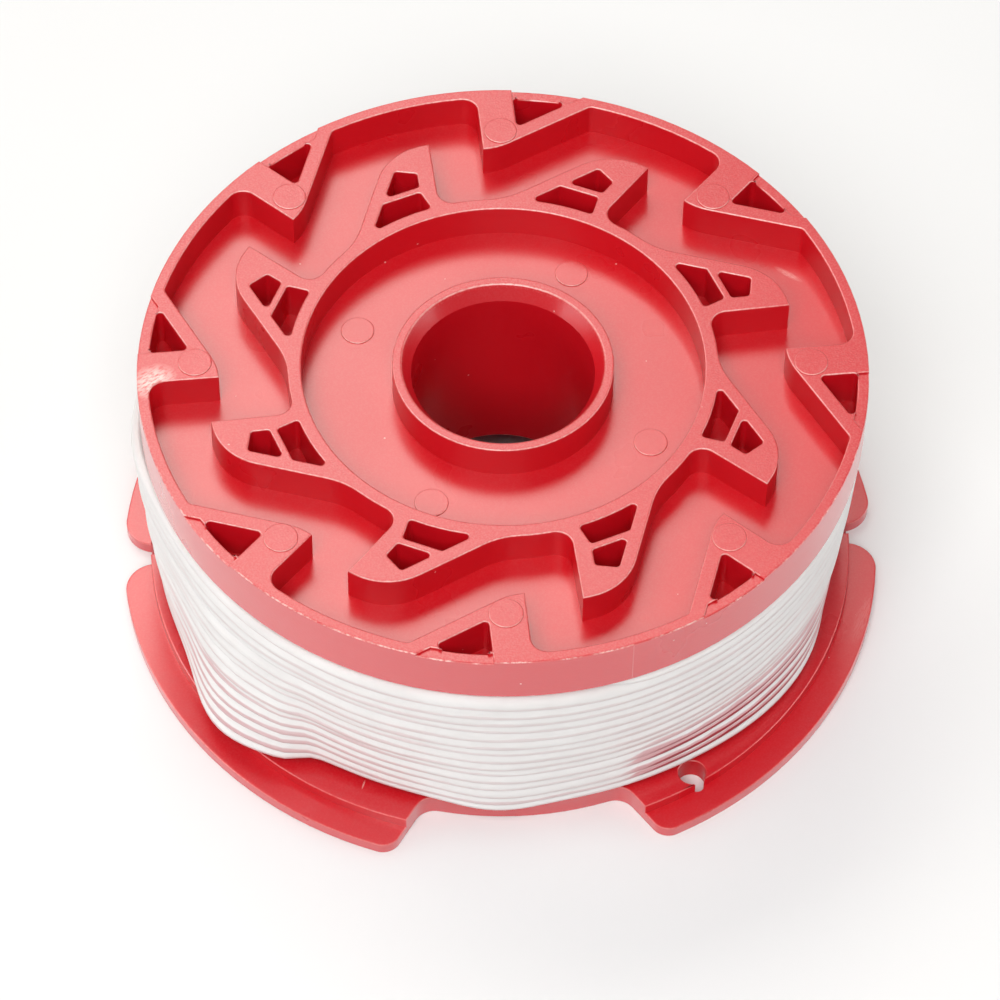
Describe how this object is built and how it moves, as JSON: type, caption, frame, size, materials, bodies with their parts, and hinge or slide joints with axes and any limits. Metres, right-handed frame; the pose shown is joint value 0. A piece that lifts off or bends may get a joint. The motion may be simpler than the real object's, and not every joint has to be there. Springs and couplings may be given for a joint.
{
  "type": "trimmer line spool",
  "caption": "Moulded spool for a garden trimmer head, with a toothed feed face, a central bore, a hollow drum wound with nylon line and a notched lower flange with line slots.",
  "frame": {"origin": "on the bore's axis, at the rest face under the lower flange", "axes": "+Z along the bore, towards the feed teeth; -Y towards the wide notch beside the keyhole"},
  "size_m": [0.0906, 0.0868, 0.0369],
  "materials": {
    "red_plastic": "satin moulded red plastic",
    "nylon_line": "clear white nylon line"
  },
  "bodies": {
    "root": {"spool_body": "red_plastic", "line_winding": "nylon_line"}
  },
  "joints": []
}
